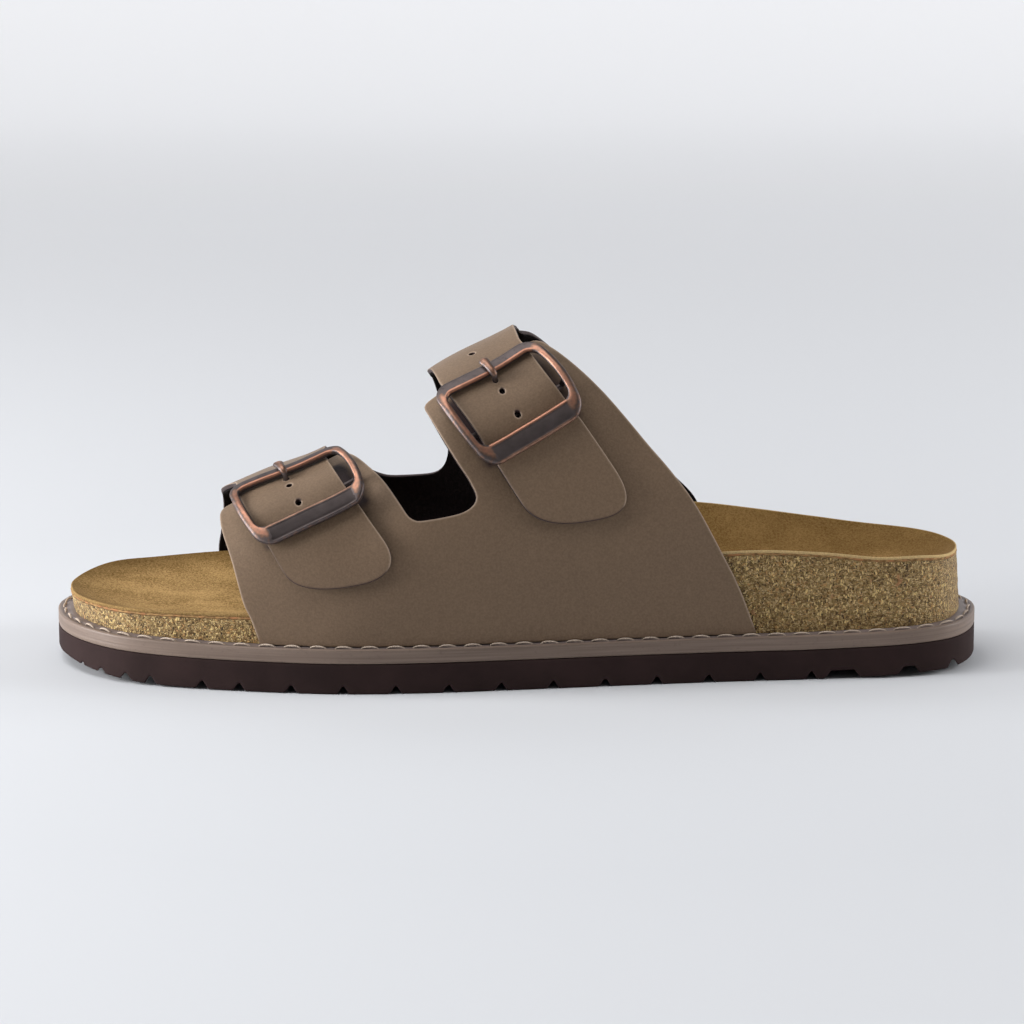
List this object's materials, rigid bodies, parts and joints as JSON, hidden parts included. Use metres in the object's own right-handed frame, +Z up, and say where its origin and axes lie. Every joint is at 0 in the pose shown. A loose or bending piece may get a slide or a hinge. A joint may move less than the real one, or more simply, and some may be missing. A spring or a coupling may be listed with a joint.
{
  "type": "cork footbed sandal",
  "caption": "Left slide sandal with a moulded cork footbed, suede insole, grooved sole and leather straps closed by buckles.",
  "frame": {"origin": "on the floor under the middle of the sole's length and width", "axes": "+X from toe to heel, +Y from the outer side of the foot to the inner side, +Z up"},
  "size_m": [0.2874, 0.1079, 0.1044],
  "materials": {
    "sole_rubber": "matt dark brown foam rubber with cross grooves",
    "welt_rubber": "matt taupe grey with fine lengthwise streaks",
    "cork": "matt pressed cork with light, dark and orange crumbs",
    "suede": "ochre suede with a fine nap",
    "upper_leather": "taupe brown nubuck with dark cut edges and lining",
    "buckle_metal": "antiqued copper with dark flats and bright worn edges",
    "prong_metal": "antiqued copper wire"
  },
  "bodies": {
    "root": {"outsole": "sole_rubber", "welt": "welt_rubber", "footbed": "cork", "insole": "suede", "outer_quarter": "upper_leather", "inner_quarter": "upper_leather", "buckle_front": "buckle_metal", "buckle_rear": "buckle_metal", "prong_front": "prong_metal", "prong_rear": "prong_metal"}
  },
  "joints": []
}
